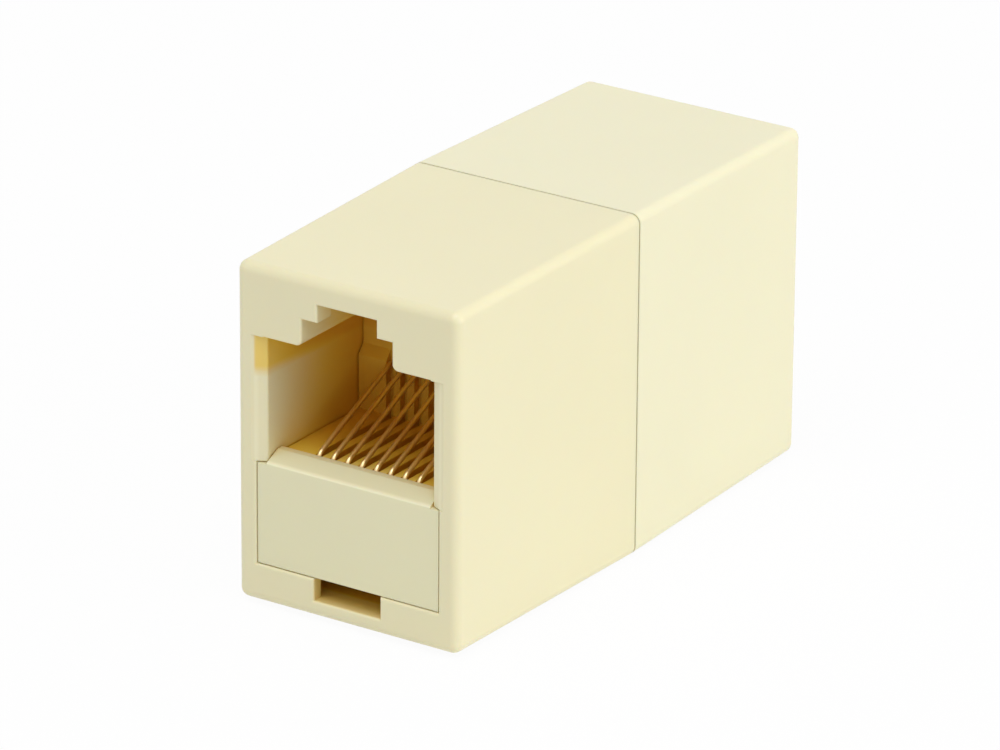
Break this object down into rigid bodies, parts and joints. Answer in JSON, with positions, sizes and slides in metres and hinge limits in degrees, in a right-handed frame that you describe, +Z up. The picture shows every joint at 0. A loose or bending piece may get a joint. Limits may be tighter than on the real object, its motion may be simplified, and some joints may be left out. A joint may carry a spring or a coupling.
{
  "type": "rj45 inline coupler",
  "caption": "Straight inline coupler: a small drafted box with a modular plug socket in each end, spring contacts in both and a circuit board between them.",
  "frame": {"origin": "middle of the lowest line of the seam between the two housing halves", "axes": "+Z up with the latch steps of both sockets on top, -Y out of the front socket, +Y out of the rear socket"},
  "size_m": [0.0162, 0.0378, 0.022],
  "materials": {
    "ivory_plastic": "satin moulded ABS, ivory",
    "insert_plastic": "matte moulded plastic, slightly greyer ivory",
    "gold_contact": "gold-plated spring wire",
    "board_green": "glass-epoxy board with solder mask",
    "solder": "bright solder"
  },
  "bodies": {
    "root": {"front_housing": "ivory_plastic", "rear_housing": "ivory_plastic", "front_insert": "insert_plastic", "rear_insert": "insert_plastic", "circuit_board": "board_green", "solder_joints": "solder", "contact_front_1": "gold_contact", "contact_front_2": "gold_contact", "contact_front_3": "gold_contact", "contact_front_4": "gold_contact", "contact_front_5": "gold_contact", "contact_front_6": "gold_contact", "contact_front_7": "gold_contact", "contact_front_8": "gold_contact", "contact_rear_1": "gold_contact", "contact_rear_2": "gold_contact", "contact_rear_3": "gold_contact", "contact_rear_4": "gold_contact", "contact_rear_5": "gold_contact", "contact_rear_6": "gold_contact", "contact_rear_7": "gold_contact", "contact_rear_8": "gold_contact"}
  },
  "joints": []
}
